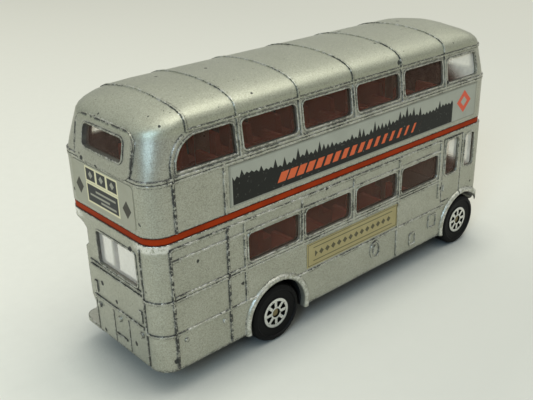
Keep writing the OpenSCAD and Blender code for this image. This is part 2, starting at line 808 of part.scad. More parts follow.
module upper_deck() color(deck_colour) difference() {
    union() {
        translate([0, 0, band_z]) linear_extrude(band_t) plan(fit_gap, nose_r);
        for (i = [0:up_row_count - 1])
            both_sides() bench(up_row_start + i * up_row_pitch, deck_z, -seat_half, -gangway);
        translate([0, 0, deck_z - 0.2]) linear_extrude(1.4) difference() {
            plan(wall + fit_gap, nose_r);
            plan(wall + fit_gap + 1, nose_r);
        }
    }
    for (x = posts)
        translate([x, 0, band_z - 1]) cylinder(h = band_t + 20, r = post_r + fit_gap);
}

low_row_count = 5;
low_row_start = rear_axle_x + 12.4;
low_row_pitch = (bulkhead_x - seat_d - 1.2 - low_row_start) / (low_row_count - 1);
side_seat_t = 2;
side_seat_x0 = platform_x + 2;
side_seat_x1 = rear_axle_x + well_half + box_t + fit_gap;
cab_half = well_in - 1;
cab_floor_z = well_top + box_t;
cab_seat_x = bulkhead_x + wall + 1;
cab_x1 = front_x - wall - fit_gap;
step_count = 7;
step_in = -saloon_half + 7.6;
step_rise = (band_z - 0.6 - platform_z) / (step_count + 1);
step_run = (platform_x - rear_x - wall - 4) / step_count;

// Inward-facing bench over a rear wheel box, offside
module side_seat() {
    riser_y = box_t + fit_gap - well_in;
    seat_z = well_top + box_t + fit_gap;
    block([side_seat_x0, -saloon_half, seat_z], [side_seat_x1, riser_y + 1.5, seat_z + side_seat_t]);
    block([side_seat_x0, riser_y, floor_z], [side_seat_x1, riser_y + 1.5, seat_z + 1]);
    block([side_seat_x0, -saloon_half, seat_z], [side_seat_x1, 1.2 - saloon_half, sill_z]);
}

// The driver's floor and seat, carried on a column from the saloon floor
module cab_inside() {
    cab_y1 = cab_wall_y - wall / 2 - fit_gap;
    block([bulkhead_x - past, -cab_half, floor_z], [cab_x1 - 6, cab_half, floor_z + floor_t]);
    block([cab_seat_x, -cab_half, floor_z], [cab_seat_x + 7, cab_y1, cab_floor_z + 0.5]);
    block([bulkhead_x + wall + fit_gap, -half_w + wall + fit_gap + 1, cab_floor_z],
        [cab_x1 - 2, cab_y1, cab_floor_z + floor_t]);
    bench(cab_seat_x + 0.4, cab_floor_z + floor_t, -cab_half - 2, cab_y1 - 4);
}

// Moulding of the lower saloon: floor, benches, rear bulkheads, the stairs and the driver's seat
module lower_deck() color(deck_colour) difference() {
    union() {
        difference() {
            block([platform_x + 0.3, -saloon_half, floor_z],
                [bulkhead_x - fit_gap, saloon_half, floor_z + floor_t]);
            both_sides() block([rear_axle_x - well_half - box_t - fit_gap, -half_w, floor_z - past],
                [side_seat_x1, box_t + fit_gap - well_in, floor_z + floor_t + past]);
        }
        both_sides() {
            side_seat();
            for (i = [0:low_row_count - 1])
                bench(low_row_start + i * low_row_pitch, floor_z + floor_t, -seat_half, -gangway);
        }
        for (i = [0:step_count - 1])
            block([platform_x + 0.3 - (i + 1) * step_run, -saloon_half, platform_z],
                [platform_x + 1.5 - i * step_run, step_in, platform_z + (i + 1) * step_rise]);
        block([platform_x + 0.3, -saloon_half, floor_z], [platform_x + 1.5, -5, band_z - 3]);
        block([platform_x + 0.3, 9, floor_z], [platform_x + 1.5, saloon_half, band_z - 6]);
        cab_inside();
    }
    for (x = posts)
        translate([x, 0, floor_z - past]) cylinder(h = 24, r = post_r + fit_gap);
}

glass_low_z0 = sill_z + 0.6;
glass_low_z1 = band_z - 1;

// Depth at which a raised pane meets the clear wall behind it
pane_root = wall + fit_gap + glass_t / 2;

// A clear wall inside the lower casting
module low_glass() {
    translate([0, 0, glass_low_z0]) linear_extrude(glass_low_z1 - glass_low_z0) difference() {
        plan(wall + fit_gap);
        plan(wall + fit_gap + glass_t);
    }
}

// Clear moulding behind the saloon windows
module lower_glazing() color(glass_colour) {
    difference() {
        low_glass();
        block([rear_x, rear_edge_y - 1.2, 0], [platform_x + 0.3, body_w, band_z]);
        block([bulkhead_x - fit_gap, -body_w, 0], [body_l, body_w, band_z]);
    }
    front_y = saloon_half + fit_gap + glass_t / 2;
    block([bulkhead_x - fit_gap - glass_t, -front_y, glass_low_z0],
        [bulkhead_x - fit_gap, front_y, glass_low_z1]);
    both_sides() for (i = [0:bay_count - 1])
        across(-half_w + pane_depth, -half_w + pane_root) low_window(i, -fit_gap);
    along(rear_x + pane_depth, rear_x + pane_root) rear_window(-fit_gap);
}

// Clear moulding behind the cab's windscreen and side windows
module cab_glazing() color(glass_colour) {
    difference() {
        low_glass();
        block([-body_l, -body_w, 0], [bulkhead_x + wall + fit_gap, body_w, band_z]);
        block([bulkhead_x, cab_wall_y - wall / 2 - fit_gap, 0], [body_l, body_w, band_z]);
    }
    for (i = [0, 1])
        across(-half_w + pane_depth, -half_w + pane_root) cab_window(i, -fit_gap);
    along(front_x - pane_root, front_x - pane_depth) screen(-fit_gap);
}

glass_up_z0 = up_window_z - 0.7;
glass_up_h = up_window_h + 1.2;

// Clear upright wall behind the upper windows, with a raised pane in each leaning opening
module upper_glazing() color(glass_colour) {
    translate([0, 0, glass_up_z0]) linear_extrude(glass_up_h) difference() {
        gutter_plan(wall + fit_gap);
        gutter_plan(wall + fit_gap + glass_t);
    }
    both_sides() lean_side()
        upper_side_windows(-half_w + pane_depth, -half_w + pane_root + tumble, -fit_gap);
    lean_rear() along(rear_x + pane_depth, rear_x + pane_root + rear_rake) rear_pane(-fit_gap);
    lean_front() for (s = [-1, 1])
        along(front_x - pane_root - front_rake, front_x - pane_depth) front_pane(s, -fit_gap);
}

// Base with its bearing blocks, rear wheel boxes, wheel wells and post holes
module baseplate() color(base_colour) difference() {
    union() {
        intersection() {
            translate([0, 0, base_z]) linear_extrude(base_t) plan(wall + fit_gap);
            block([platform_x + fit_gap, -half_w, base_z], [front_x, half_w, base_z + base_t]);
        }
        for (x = [rear_axle_x, front_axle_x])
            both_sides() block([x - bearing_half, -bearing_out, base_z],
                [x + bearing_half, -bearing_out + bearing_w, bearing_top]);
        both_sides() block([rear_axle_x - well_half - box_t, -half_w + wall + fit_gap, base_z],
            [rear_axle_x + well_half + box_t, box_t - well_in, well_top + box_t]);
    }
    both_sides() for (x = [rear_axle_x, front_axle_x])
        block([x - well_half, -half_w, base_z - past], [x + well_half, -well_in, well_top]);
    for (x = [rear_axle_x, front_axle_x])
        translate([x, half_w, axle_z]) rotate([90, 0, 0]) cylinder(h = body_w, r = axle_r + axle_gap);
    for (x = posts) {
        translate([x, 0, base_z - past]) cylinder(h = base_t + 2 * past, r = post_r + fit_gap);
        translate([x, 0, base_z - past]) cylinder(h = past + base_t / 2 + head_sink, r = head_r + fit_gap);
    }
}
bearing_half = 2.4;

axle_end = wheel_out - 0.7;

module axle(x) {
    translate([x, axle_end, axle_z]) rotate([90, 0, 0]) cylinder(h = 2 * axle_end, r = axle_r);
}

module front_axle() color(steel_colour) axle(front_axle_x);
module rear_axle() color(steel_colour) axle(rear_axle_x);

hub_r = 4.1;
hub_depth = 0.7;
ring_w = 0.75;
spoke_count = 8;
spoke_w = 0.85;
boss_r = 1.75;

// One wheel on the Z axis, its outer face at z = 0
module wheel() {
    difference() {
        rotate_extrude($fn = 96) polygon([[0, -wheel_w], [tyre_r - 1.3, -wheel_w],
            [tyre_r - 0.4, -wheel_w + 0.35], [tyre_r, -wheel_w + 1.1], [tyre_r, -1.1],
            [tyre_r - 0.4, -0.35], [tyre_r - 1.2, 0], [tyre_r - 1.5, 0], [tyre_r - 1.7, -0.3],
            [hub_r + 0.5, -0.5], [hub_r + 0.2, -0.3], [0, -0.3]]);
        translate([0, 0, -0.3 - hub_depth]) cylinder(h = 2, r = hub_r - ring_w);
    }
    difference() {
        union() {
            translate([0, 0, -0.4 - hub_depth]) cylinder(h = 0.1 + hub_depth, r = boss_r);
            for (i = [0:spoke_count - 1])
                rotate([0, 0, i * 360 / spoke_count])
                    block([0, -spoke_w / 2, -0.4 - hub_depth], [hub_r - ring_w + 0.2, spoke_w / 2, -0.35]);
        }
        translate([0, 0, -0.3 - hub_depth]) cylinder(h = 2, r = axle_r + 0.25);
    }
    translate([0, 0, -wheel_w - hub_reach + side_play])
        cylinder(h = hub_reach + 0.1 - side_play, r = axle_r + 1.4);
}

module wheel_at(x, side) {
    translate([x, side * wheel_out, axle_z]) rotate([-side * 90, 0, 0]) difference() {
        wheel();
        translate([0, 0, -wheel_w - 2]) cylinder(h = wheel_w + 4, r = axle_r);
    }
}

module front_offside_wheel() color(tyre_colour) wheel_at(front_axle_x, -1);
module front_nearside_wheel() color(tyre_colour) wheel_at(front_axle_x, 1);
module rear_offside_wheel() color(tyre_colour) wheel_at(rear_axle_x, -1);
module rear_nearside_wheel() color(tyre_colour) wheel_at(rear_axle_x, 1);

banner_x0 = stair_x + 1.4;
banner_x1 = front_x - nose_r - 1.2;
banner_z0 = deck_z + 1.2;
banner_z1 = waist_z - 1.1;
plaque_x0 = bay_start + bay_pitch + 1.5;
plaque_x1 = bay_start + 3 * bay_pitch - 0.3;
plaque_z0 = panel_z + 1.3;
plaque_z1 = sill_z - 0.6;
end_label_half = half_w - rear_r - 0.3;
front_label_half = 12;

module side_label(side, x0, z0, x1, z1) {
    mirror([0, side > 0 ? 1 : 0, 0]) block([x0, -half_w - label_t, z0], [x1, -half_w, z1]);
}

module offside_banner() color(paper_colour) side_label(-1, banner_x0, banner_z0, banner_x1, banner_z1);
module nearside_banner() color(paper_colour) side_label(1, banner_x0, banner_z0, banner_x1, banner_z1);
module offside_plaque() color(paper_colour) side_label(-1, plaque_x0, plaque_z0, plaque_x1, plaque_z1);
module nearside_plaque() color(paper_colour) side_label(1, plaque_x0, plaque_z0, plaque_x1, plaque_z1);

module rear_panel_label() color(paper_colour) along(rear_x - label_t, rear_x)
    polygon(round_rect(-end_label_half, banner_z0 - 0.4, end_label_half, banner_z1, 1));

module front_panel_label() color(paper_colour) along(front_x, front_x + label_t)
    polygon(round_rect(-front_label_half, banner_z0, front_label_half, banner_z1, 1));

upper_body();
lower_body();
upper_deck();
lower_deck();
upper_glazing();
lower_glazing();
cab_glazing();
baseplate();
front_axle();
rear_axle();
front_offside_wheel();
front_nearside_wheel();
rear_offside_wheel();
rear_nearside_wheel();
offside_banner();
nearside_banner();
offside_plaque();
nearside_plaque();
rear_panel_label();
front_panel_label();
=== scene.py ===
import math

import bpy
from mathutils import Matrix, Vector

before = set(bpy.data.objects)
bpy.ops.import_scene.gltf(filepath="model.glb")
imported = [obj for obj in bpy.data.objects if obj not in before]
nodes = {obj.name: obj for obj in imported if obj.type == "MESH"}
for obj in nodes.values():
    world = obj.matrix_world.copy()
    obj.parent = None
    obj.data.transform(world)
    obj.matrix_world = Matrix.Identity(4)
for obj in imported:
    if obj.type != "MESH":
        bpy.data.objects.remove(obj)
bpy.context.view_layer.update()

# Millimetres in a metre: the materials work in millimetres, the scene in metres
MM = 1000.0
X, Y, Z = range(3)


def limit(node, axis, pick):
    """The lowest or highest place of a node along an axis, to a thousandth of a millimetre."""
    return round(pick(corner[axis] for corner in nodes[node].bound_box) * MM, 3)


def middle(node, axis):
    """The place halfway along a node."""
    return round((limit(node, axis, min) + limit(node, axis, max)) / 2.0, 3)


# Places on the bus in millimetres, read off the labels, the deck moulding and the axles
HALF_W = limit("nearside_banner", Y, min)
REAR_X = limit("rear_panel_label", X, max)
FRONT_X = limit("front_panel_label", X, min)
BAND_Z = limit("upper_deck", Z, min)
REAR_AXLE_X = middle("rear_axle", X)
FRONT_AXLE_X = middle("front_axle", X)
AXLE_Z = middle("front_axle", Z)

# Levels of the body: the top of the red band, the waist where the walls start to lean in, and the gutter
BAND_HEIGHT = 2.0
DECK_Z = BAND_Z + BAND_HEIGHT
WAIST_Z = 54.8
GUTTER_Z = 64.2

# How far the side and rear walls lean in between the waist and the gutter
SIDE_LEAN = 1.2
REAR_LEAN = 1.8

# Wheel arches: radius, and how far their centres are above the axles
ARCH_R = 9.5
ARCH_RISE = 0.3
ARCH_Z = AXLE_Z + ARCH_RISE

# Distances from the middle line over which the roof's crown fades out and its shoulders and the corners begin
CROWN_OUT = (15.0, 3.0)
SHOULDER_OUT = (6.0, 14.0)
CORNER_OUT = (10.0, 13.5)

# Window rows: their two ends along the body, and the foot and head of each
WINDOW_ENDS = (-57.0, 58.5)
WINDOW_ROWS = ((26.4, 38.4), (55.6, 63.8))

# Front side panes: where each row's pane begins, where both end, a place amid them and where the painted
# daylight sets in
UP_PANE_X = 42.5
LOW_PANE_X = 45.3
PANE_END_X = 57.0
PANE_X, PANE_Z = 48.0, 58.0
UP_DAYLIGHT = (-7.0, 3.0)
LOW_DAYLIGHT_Z = (29.0, 34.0)

# Emergency door in the rear wall: its middle and half of its width inside the rim
DOOR_Y = -0.8
DOOR_HALF = 11.5

# Upright beads that are worn: place along the body, foot and head, and half of their width
WORN_BEADS = ((-58.0, 7.5, 39.0), (-55.75, 42.3, 57.0), (-41.8, 7.5, 39.0))
BEAD_HALF = 0.42

# Cells per millimetre that may hold a large chip
LARGE_CHIPS = 0.24

# Wheels: how far out from the middle the hub's foil starts, its inner and outer radius,
# and the radii over which fine rings and scuffs set in
FOIL_Y = 17.5
FOIL_INNER_R = 1.3
FOIL_OUTER_R = 4.15
RINGS_R = (4.6, 4.9)
SCUFFS_R = (6.9, 8.0)

# Side label, as left, foot, right and head: the dark hills, the stripes and the printed ground
HILLS = (-39.6, 43.8, 44.8, 53.4)
STRIPES = (-25.6, 45.2, 28.8, 47.7)
BANNER_GROUND = (-39.9, 43.8, 56.1, 53.3)
# The nearside print runs the other way: its places are this less the places along the body
BANNER_MIRROR = 16.0
HILL_Z = 47.2
HILL_RISE = 4.8
FIR_WIDTH = 1.5
FIR_LEAST, FIR_MORE = 0.5, 2.9
STRIPE_PITCH = 3.2
STRIPE_SLANT = 0.55
STRIPE_Z = 45.4
TAPER_START = -26.0
DIAMOND_X, DIAMOND_Z = 50.3, 49.0
DIAMOND_RING = (1.5, 1.6, 3.4, 3.5)

# Lower side label, as left, foot, right and head: the border's outlines, the rules and the lozenges
BORDER_OUTER = (-15.4, 17.9, 20.8, 24.3)
BORDER_INNER = (-15.2, 18.1, 20.6, 24.1)
RULES = ((-13.4, 22.9, 18.8, 23.15), (-13.4, 19.05, 18.8, 19.3))
LOZENGES = (-12.8, 19.6, 18.4, 22.6)
LOZENGE_PITCH = 2.3
LOZENGE_Z = 21.1
LOZENGE_R = 0.9

# End labels: dark panels as left, foot, right and head; bars as left, foot and right; diamonds; outer marks
PANELS = (
    (-6.6, 49.9, -2.7, 52.9),
    (-1.9, 49.9, 1.9, 52.9),
    (2.7, 49.9, 6.6, 52.9),
    (-6.6, 44.6, 6.6, 48.9),
)
PANEL_BORDER = 0.45
BARS = ((-5.6, 47.4, 3.0), (-3.0, 46.2, 5.6), (-5.6, 45.2, 1.0))
BAR_HEIGHT = 0.5
PANEL_DIAMONDS = (-4.65, 0.0, 4.65)
PANEL_DIAMOND_Z = 51.4
PANEL_DIAMOND_R = 0.95
MARK_Y, MARK_Z = 10.2, 47.4
MARK_R = 1.75

# Samples of each rounded normal and each look into crevices
SAMPLES = 6

# Where a mix node keeps its two inputs and its result for each kind of value
MIX_SOCKETS = {"FLOAT": (2, 3, 0), "RGBA": (6, 7, 2)}

# Smoothing: vertices closer than this many metres are one, and folds sharper than this stay sharp
WELD = 2e-6
FOLD_DEGREES = 34.0

# Floor: half of its width in metres; in millimetres, where painted shade darkens it ahead and on the offside,
# how close to the bus a painted shadow darkens it, and how far off it fades
FLOOR_HALF = 6.0
FLOOR_SHADE_X = (-180.0, 340.0)
FLOOR_SHADE_Y = (0.0, -110.0)
SHADOW_REACH = 14.0
FADE = (700.0, 2600.0)

# Colour of the light all round, and the brightness of the backdrop beyond the floor
SKY = (0.97, 0.985, 0.95, 1.0)
BACKDROP = 0.6

# Camera: where the photograph was taken from, worked out from the bus's own edges
AZIMUTH = math.radians(-41.339)
ELEVATION = math.radians(24.29)
ROLL = math.radians(-1.505)
CAMERA_PLACE = Vector((-0.13967, -0.14408, 0.11731))
FOCAL_PIXELS = 762.383
PHOTO_WIDTH = 533.0
SENSOR = 36.0
CLIP = (0.005, 50.0)


def srgb(red, green, blue):
    """A colour given as 0 to 255 screen values, made linear."""
    linear = []
    for screen in (red, green, blue):
        screen /= 255.0
        linear.append(screen / 12.92 if screen <= 0.04045 else ((screen + 0.055) / 1.055) ** 2.4)
    return (*linear, 1.0)


class Wire:
    """A socket in a graph that takes plain arithmetic."""

    def __init__(self, graph, socket):
        self.graph = graph
        self.socket = socket

    def __add__(self, other):
        return self.graph.math("ADD", self, other)

    def __radd__(self, other):
        return self.graph.math("ADD", other, self)

    def __sub__(self, other):
        return self.graph.math("SUBTRACT", self, other)

    def __rsub__(self, other):
        return self.graph.math("SUBTRACT", other, self)

    def __mul__(self, other):
        return self.graph.math("MULTIPLY", self, other)

    def __rmul__(self, other):
        return self.graph.math("MULTIPLY", other, self)

    def __truediv__(self, other):
        return self.graph.math("DIVIDE", self, other)


class Graph:
    """The shader nodes of a material or world, with the place or direction as wires x, y and z."""

    def __init__(self, owner, output, coordinates, scale):
        self.owner = owner
        owner.use_nodes = True
        self.tree = owner.node_tree
        self.tree.nodes.clear()
        self.out = self.node(output)
        place = Wire(self, self.node("TexCoord").outputs[coordinates])
        self.place = self.times(place, scale)
        self.x, self.y, self.z = self.split(self.place)

    def node(self, kind, **settings):
        """A new node with these settings."""
        made = self.tree.nodes.new("ShaderNode" + kind)
        for name, value in settings.items():
            setattr(made, name, value)
        return made

    def put(self, value, socket):
        """Links a wire to a socket or sets its value."""
        if isinstance(value, Wire):
            self.tree.links.new(value.socket, socket)
        else:
            socket.default_value = value

    def math(self, operation, *values):
        """One step of arithmetic."""
        made = self.node("Math", operation=operation)
        for value, socket in zip(values, made.inputs):
            self.put(value, socket)
        return Wire(self, made.outputs[0])

    def size(self, value):
        """A number without its sign."""
        return self.math("ABSOLUTE", value)

    def most(self, first, second):
        """The larger of two numbers."""
        return self.math("MAXIMUM", first, second)

    def length(self, across, along):
        """Distance from the origin of a plane."""
        return self.math("SQRT", across * across + along * along)

    def clamp(self, value):
        """A number kept between 0 and 1."""
        kept = self.math("ADD", value, 0.0)
        kept.socket.node.use_clamp = True
        return kept

    def repeat(self, value, pitch):
        """The number of the repeat that a place falls in, and how far through it the place is."""
        number = self.math("FLOOR", value / pitch)
        return number, value / pitch - number

    def step(self, start, end, value):
        """0 before start and 1 past end, smooth between, whichever of the two is the larger."""
        made = self.node("MapRange", interpolation_type="SMOOTHSTEP", clamp=True)
        self.put(value, made.inputs["Value"])
        rising = start < end
        made.inputs["From Min"].default_value = start if rising else end
        made.inputs["From Max"].default_value = end if rising else start
        made.inputs["To Min"].default_value = 0.0 if rising else 1.0
        made.inputs["To Max"].default_value = 1.0 if rising else 0.0
        return Wire(self, made.outputs[0])

    def above(self, value, threshold, width):
        """1 where a number passes a threshold that may itself vary."""
        return self.step(0.0, width, value - threshold)

    def span(self, value, start, full, fade, end):
        """0 before start, 1 from full to fade, and 0 again past end."""
        return self.step(start, full, value) * self.step(end, fade, value)

    def box(self, across, up, corners, soft=0.06):
        """1 inside a rectangle, given as left, foot, right and head."""
        left, foot, right, head = corners
        wide = self.span(across, left - soft, left + soft, right - soft, right + soft)
        return wide * self.span(up, foot - soft, foot + soft, head - soft, head + soft)

    def split(self, vector):
        """The three numbers of a vector."""
        made = self.node("SeparateXYZ")
        self.put(vector, made.inputs[0])
        return [Wire(self, socket) for socket in made.outputs]

    def times(self, vector, factor):
        """A place or colour times a number."""
        made = self.node("VectorMath", operation="SCALE")
        self.put(vector, made.inputs[0])
        self.put(factor, made.inputs["Scale"])
        return Wire(self, made.outputs[0])

    def noise(self, scale, detail, rough, distort=0.0, stretch=None):
        """Soft noise of so many waves to the millimetre, or more or fewer of them along each axis."""
        made = self.node("TexNoise")
        where = self.place
        if stretch:
            stretched = self.node("VectorMath", operation="MULTIPLY")
            self.put(where, stretched.inputs[0])
            stretched.inputs[1].default_value = stretch
            where = Wire(self, stretched.outputs[0])
        self.put(where, made.inputs["Vector"])
        made.inputs["Scale"].default_value = scale
        made.inputs["Detail"].default_value = detail
        made.inputs["Roughness"].default_value = rough
        made.inputs["Distortion"].default_value = distort
        return Wire(self, made.outputs["Fac"])

    def cells(self, scale):
        """Distance to the nearest cell centre and the cell's own random number."""
        made = self.node("TexVoronoi")
        self.put(self.place, made.inputs["Vector"])
        made.inputs["Scale"].default_value = scale
        colour = self.node("SeparateColor")
        self.tree.links.new(made.outputs["Color"], colour.inputs[0])
        return Wire(self, made.outputs["Distance"]), Wire(self, colour.outputs[0])

    def random(self, value):
        """A random number that stays the same for the same value."""
        made = self.node("TexWhiteNoise", noise_dimensions="1D")
        self.put(value, made.inputs["W"])
        return Wire(self, made.outputs["Value"])

    def mixed(self, kind, share, first, second):
        """A value that goes from the first to the second as the share goes to 1."""
        made = self.node("Mix", data_type=kind)
        first_socket, second_socket, result = MIX_SOCKETS[kind]
        self.put(share, made.inputs[0])
        self.put(first, made.inputs[first_socket])
        self.put(second, made.inputs[second_socket])
        return Wire(self, made.outputs[result])

    def mix(self, share, first, second):
        """A mix of two colours."""
        return self.mixed("RGBA", share, first, second)

    def blend(self, share, first, second):
        """A mix of two numbers."""
        return self.mixed("FLOAT", share, first, second)

    def geometry(self, name):
        """What the surface itself says, such as its normal."""
        return Wire(self, self.node("NewGeometry").outputs[name])

    def sideways(self):
        """How squarely the surface faces one side of the bus or the other."""
        _, across, _ = self.split(self.geometry("Normal"))
        return self.size(across)

    def rounded(self, radius):
        """The normal of the surface with its folds rounded off."""
        made = self.node("Bevel", samples=SAMPLES)
        made.inputs["Radius"].default_value = radius / MM
        return Wire(self, made.outputs[0])

    def edge(self, radius):
        """1 near a fold of the surface, from the turn of a rounded normal."""
        turn = self.node("VectorMath", operation="DOT_PRODUCT")
        self.put(self.geometry("Normal"), turn.inputs[0])
        self.put(self.rounded(radius), turn.inputs[1])
        return self.step(0.998, 0.92, Wire(self, turn.outputs["Value"]))

    def hollow(self, distance, only_local=True):
        """1 in crevices: of the surface itself, or else between any surfaces."""
        made = self.node("AmbientOcclusion", samples=SAMPLES, only_local=only_local)
        made.inputs["Distance"].default_value = distance / MM
        return 1.0 - Wire(self, made.outputs["AO"])

    def bump(self, height, strength, distance, normal=None):
        """The normal of a surface that rises and falls with a height."""
        made = self.node("Bump")
        self.put(height, made.inputs["Height"])
        if normal:
            self.put(normal, made.inputs["Normal"])
        made.inputs["Strength"].default_value = strength
        made.inputs["Distance"].default_value = distance / MM
        return Wire(self, made.outputs[0])

    def shader(self, kind, **inputs):
        """A shading node with these inputs."""
        made = self.node(kind)
        for name, value in inputs.items():
            self.put(value, made.inputs[name.replace("_", " ")])
        return Wire(self, made.outputs[0])

    def principled(self, **inputs):
        """The principled shader with these inputs."""
        return self.shader("BsdfPrincipled", **inputs)

    def mix_shaders(self, share, first, second):
        """A shader that goes from the first to the second as the share goes to 1."""
        made = self.node("MixShader")
        for value, socket in zip((share, first, second), made.inputs):
            self.put(value, socket)
        return Wire(self, made.outputs[0])

    def surface(self, shader):
        """Puts a shader on the output and hands back the finished material or world."""
        self.put(shader, self.out.inputs["Surface"])
        return self.owner


def material_graph(name):
    """An empty material whose coordinates are the bus's own millimetres."""
    return Graph(bpy.data.materials.new(name), "OutputMaterial", "Object", MM)


def paint_chips(look, edge, out, roof, crown, rear):
    """Chips: small ones, rare on flat panels and close together along ridges, and a few large ones."""
    zone = look.noise(0.11, 2.0, 0.5)
    by_band = look.span(look.z, BAND_Z - 2.6, BAND_Z - 0.6, DECK_Z + 0.3, DECK_Z + 1.4)
    gutter = look.span(look.z, GUTTER_Z - 1.4, GUTTER_Z - 0.6, GUTTER_Z + 0.6, GUTTER_Z + 1.2)
    worn = look.clamp(look.step(0.34, 0.6, zone) + 0.5 * rear + 0.5 * by_band + 0.6 * gutter)
    threshold = 0.697 - 0.235 * edge * worn * (1.0 - 0.4 * crown) - 0.02 * roof
    small = look.above(look.noise(1.3, 4.0, 0.7, 0.6), threshold, 0.02)
    # The large ones are ragged, and more of them are on the roof's shoulders and towards the rear
    ragged = 0.35 + 1.75 * look.noise(1.5, 4.0, 0.7)
    distance, number = look.cells(LARGE_CHIPS)
    shoulder = roof * look.step(*SHOULDER_OUT, out)
    radius = (number - 0.52 + 0.12 * rear + 0.16 * shoulder) * 1.6
    large = look.step(0.0, 0.1, radius - distance * ragged / LARGE_CHIPS)
    return look.most(small, large)


def worn_ridges(look, out, slope):
    """Upright beads towards the rear and the emergency door's rim, worn down to dark metal."""
    dash = look.noise(0.9, 4.0, 0.65, 0.3)
    proud = look.step(HALF_W + 0.02, HALF_W + 0.1, out)
    worn = 0.0
    for bead_x, foot, head in WORN_BEADS:
        bead = look.box(look.x, look.z, (bead_x - BEAD_HALF, foot, bead_x + BEAD_HALF, head), 0.1)
        worn = look.most(worn, bead * proud * look.step(0.47, 0.52, dash))
    wall_x = REAR_X + REAR_LEAN * slope
    raised = look.step(0.05, 0.2, wall_x - look.x) * look.step(WAIST_Z + 0.8, WAIST_Z + 1.6, look.z)
    door = (DOOR_Y - DOOR_HALF, WAIST_Z - 2.0, DOOR_Y + DOOR_HALF, GUTTER_Z + 0.7)
    rim = raised * (1.0 - look.box(look.y, look.z, door, 0.3))
    return look.most(worn, rim * look.step(0.46, 0.52, dash))


def rubbed_metal_and_highlight(look, edge, out):
    """Bright worn metal on the folds, the arches' lips and the rear corners under the band, partly painted
    highlights.
    """
    patch = look.noise(1.1, 3.0, 0.6)
    rub_and_highlight = edge * look.step(0.45, 0.62, patch)
    for axle_x in (REAR_AXLE_X, FRONT_AXLE_X):
        reach = look.length(look.x - axle_x, look.z - ARCH_Z)
        ring = look.span(reach, ARCH_R - 0.3, ARCH_R, ARCH_R + 1.4, ARCH_R + 1.9)
        lip = ring * look.step(HALF_W + 0.25, HALF_W + 0.5, out)
        rub_and_highlight = look.most(rub_and_highlight, lip * look.step(0.42, 0.6, patch) * 0.7)
    corner = look.step(REAR_X + 5.5, REAR_X + 4.0, look.x) * look.step(*CORNER_OUT, out)
    corner = corner * look.span(look.z, BAND_Z - 2.4, BAND_Z - 1.4, BAND_Z, BAND_Z + 0.1)
    return look.most(rub_and_highlight, corner * look.step(0.36, 0.52, patch))


def window_walls(look, out, slope):
    """1 on the walls of the window openings, behind their painted lips."""
    depth = out + look.clamp(slope) * SIDE_LEAN
    deep = look.span(depth, HALF_W - 1.9, HALF_W - 1.6, HALF_W - 0.7, HALF_W - 0.4)
    left, right = WINDOW_ENDS
    rows = sum(look.box(look.x, look.z, (left, foot, right, head), 0.2) for foot, head in WINDOW_ROWS)
    return deep * look.clamp(rows) * look.step(0.6, 0.4, look.sideways())


def cast_paint():
    """Worn silver paint over a zinc casting, with painted shade in its crevices and window openings, painted
    highlights on its folds and a painted warmer tint on the roof.
    """
    look = material_graph("silver_paint")
    out = look.size(look.y)
    slope = (look.z - WAIST_Z) / (GUTTER_Z - WAIST_Z)
    roof = look.step(GUTTER_Z - 1.0, GUTTER_Z + 1.0, look.z)
    crown = roof * look.step(*CROWN_OUT, out)
    rear = look.step(REAR_X + 10.5, REAR_X + 3.5, look.x)
    edge = look.edge(0.55)
    chips = look.most(paint_chips(look, edge, out, roof, crown, rear), worn_ridges(look, out, slope))
    rub_and_highlight = rubbed_metal_and_highlight(look, edge, out)
    # Dark lines in the corners beside the ridges: grime and painted shade in the crevices
    grime_and_shade = look.step(0.16, 0.55, look.hollow(1.0)) * look.step(0.3, 0.55, look.noise(0.6, 3.0, 0.6))
    grime_and_shade = look.clamp(grime_and_shade * (0.62 + 0.5 * rear) * (1.0 - 0.75 * crown))
    grain = look.step(0.28, 0.72, look.noise(3.4, 3.0, 0.8))
    _, flake = look.cells(4.5)
    cloud = look.noise(0.12, 3.0, 0.55)
    streak = look.noise(0.5, 3.0, 0.6)
    base = look.mix(look.step(0.3, 0.7, cloud), srgb(168, 168, 153), srgb(176, 176, 162))
    # The roof's paint is tinted yellower: painted light, the warmer light on the roof
    base = look.mix(roof * 0.6, base, srgb(171, 173, 150))
    base = look.times(base, 0.6 + 0.38 * grain + 0.24 * flake)
    # Near-white on folds and lips: worn metal, partly painted highlights
    base = look.mix(rub_and_highlight * 0.7, base, srgb(232, 232, 226))
    # Dark brown in the crevices: grime and painted shade
    base = look.mix(grime_and_shade, base, srgb(38, 35, 28))
    base = look.mix(chips * 0.94, base, srgb(28, 26, 22))
    # The walls of the window openings are painted darker, in place of shade
    base = look.mix(window_walls(look, out, slope) * 0.85, base, srgb(58, 46, 40))
    dull = look.most(chips, grime_and_shade)
    rough = look.blend(rub_and_highlight, 0.27 + 0.18 * grain + 0.05 * roof, 0.24)
    height = grain * 0.5 + streak * 0.4 + flake * 0.25 - chips * 1.2
    return look.surface(look.principled(
        Base_Color=base, Metallic=look.blend(dull, 0.8, 0.15), Roughness=look.blend(dull, rough, 0.62),
        Normal=look.bump(height, 0.45, 0.06, look.rounded(0.3))))


def cast_inside():
    """Bare grey metal inside the castings, dusted with overspray."""
    look = material_graph("bare_casting")
    dust = look.noise(0.4, 3.0, 0.6)
    fine = look.noise(4.0, 2.0, 0.6)
    base = look.mix(look.step(0.35, 0.7, dust), srgb(86, 84, 78), srgb(120, 118, 108))
    base = look.times(base, 0.85 + 0.3 * fine)
    return look.surface(look.principled(
        Base_Color=base, Metallic=0.35, Roughness=0.5 + 0.2 * fine, Normal=look.bump(fine, 0.3, 0.05)))


